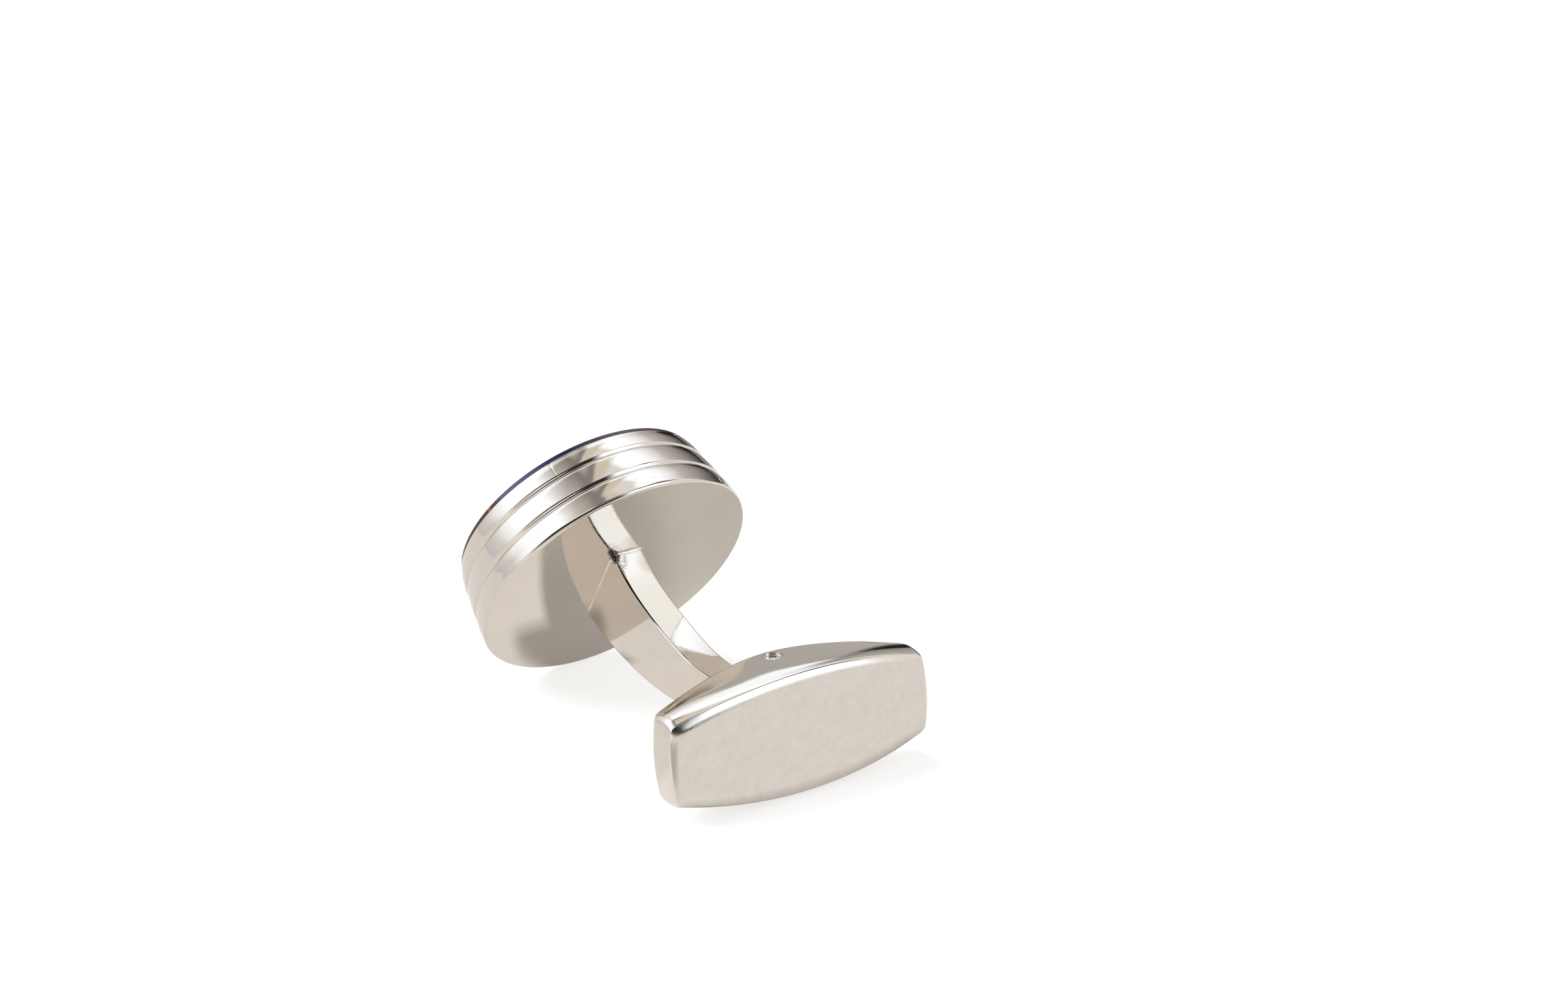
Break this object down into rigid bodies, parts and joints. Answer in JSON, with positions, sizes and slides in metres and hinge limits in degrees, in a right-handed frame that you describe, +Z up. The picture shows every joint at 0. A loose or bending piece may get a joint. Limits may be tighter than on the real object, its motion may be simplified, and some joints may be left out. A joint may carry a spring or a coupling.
{
  "type": "cufflink",
  "caption": "Cufflink with a round banded metal head and inlaid front, a curved flat post, and a whale-back toggle that swings on a pin.",
  "frame": {"origin": "centre of the footprint, on the surface that the cufflink lies on", "axes": "+X along the toggle, +Y from the toggle to the head, +Z up; the head leans back and its front faces +Y and up"},
  "size_m": [0.018, 0.0295, 0.0167],
  "materials": {
    "polished_metal": "warm white plating, polished",
    "cement": "hard cement",
    "inlay": "gloss, diagonal stripes in navy, lavender and maroon",
    "braze": "satin, slightly pitted",
    "pin_steel": "ground",
    "spring_steel": "tempered strip"
  },
  "bodies": {
    "head": {"case": "polished_metal", "bezel": "polished_metal", "inlay_cement": "cement", "inlay": "inlay", "post": "polished_metal", "braze_bead": "braze"},
    "toggle": {"toggle_body": "polished_metal", "toggle_pin": "pin_steel", "leaf_spring": "spring_steel"}
  },
  "joints": [
    {"name": "toggle_swing", "type": "hinge", "parent": "head", "child": "toggle", "pos_m": [0, -0.01116, 0.00378], "axis": [0, 0.0547, 0.9985], "range_deg": [-82, 82], "deforming": ["leaf_spring"]}
  ]
}
